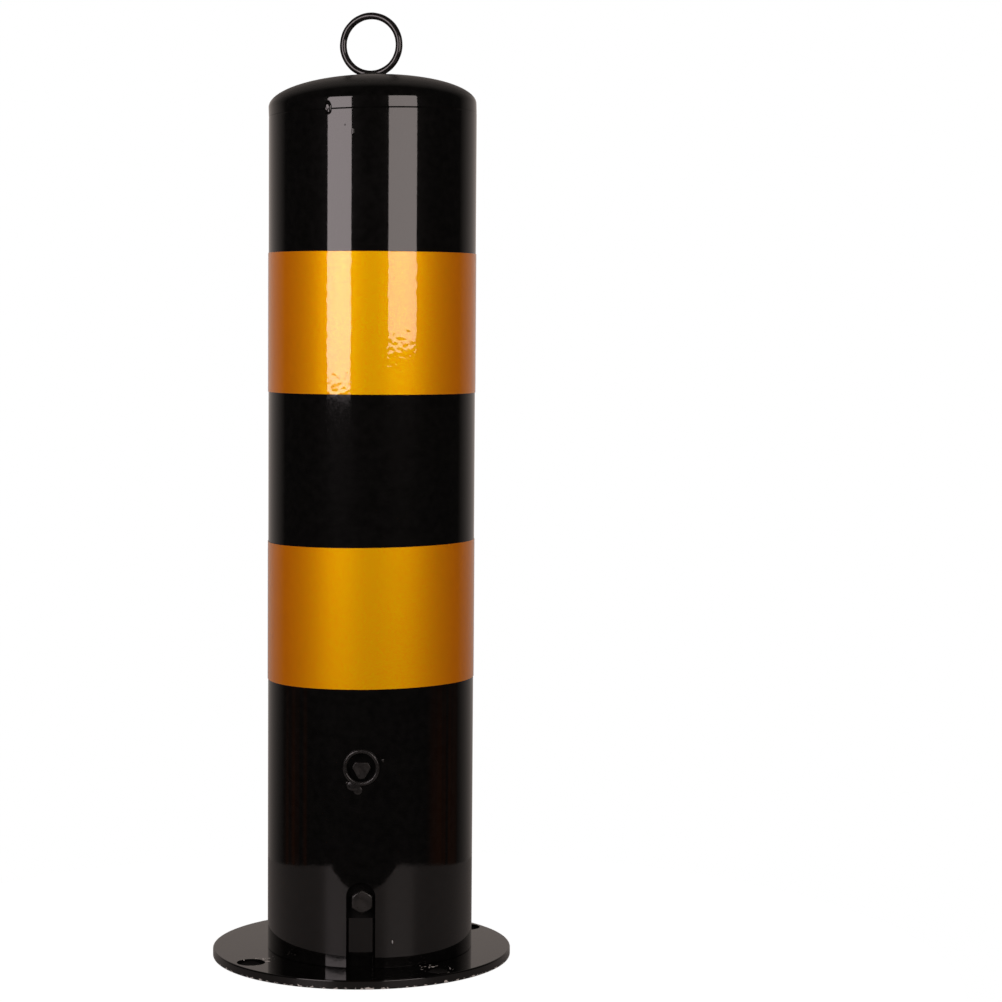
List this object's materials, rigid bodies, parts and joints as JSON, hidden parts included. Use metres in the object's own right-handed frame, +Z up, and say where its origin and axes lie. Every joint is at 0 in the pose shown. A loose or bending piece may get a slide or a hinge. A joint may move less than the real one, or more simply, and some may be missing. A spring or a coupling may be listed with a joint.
{
  "type": "parking barrier post",
  "caption": "Removable steel parking post: black tube with gold reflective bands, domed cap and lifting ring, on a bolt-down flange with a stub, stop bolt and quarter-turn lock.",
  "frame": {"origin": "middle of the base flange's underside, on the ground", "axes": "+Z up along the post, -Y out of the front where the stop bolt and the lock are"},
  "size_m": [0.166, 0.166, 0.5223],
  "materials": {
    "black_paint": "gloss black enamel",
    "bolt_paint": "gloss black enamel over a bolt head",
    "gold_film": "gold reflective film",
    "zinc_steel": "zinc plated steel"
  },
  "bodies": {
    "base": {"base_flange": "black_paint", "base_stub": "black_paint", "stub_weld": "black_paint", "stop_bolt": "bolt_paint", "stop_nut": "zinc_steel"},
    "post": {"post_tube": "black_paint", "lock_bush": "black_paint", "domed_cap": "black_paint", "cap_tacks": "black_paint", "lifting_ring": "black_paint", "ring_weld": "black_paint", "reflective_band_lower": "gold_film", "reflective_band_upper": "gold_film"},
    "lock": {"lock_spindle": "bolt_paint", "lock_cam": "zinc_steel"}
  },
  "joints": [
    {"name": "post_lift", "type": "slide", "parent": "base", "child": "post", "axis": [0, 0, 1], "range_m": [0, 0.15]},
    {"name": "lock_turn", "type": "hinge", "parent": "post", "child": "lock", "pos_m": [-0.00061, -0.05477, 0.1129], "axis": [0.0911, 0.9958, 0], "range_deg": [0, 90]}
  ]
}
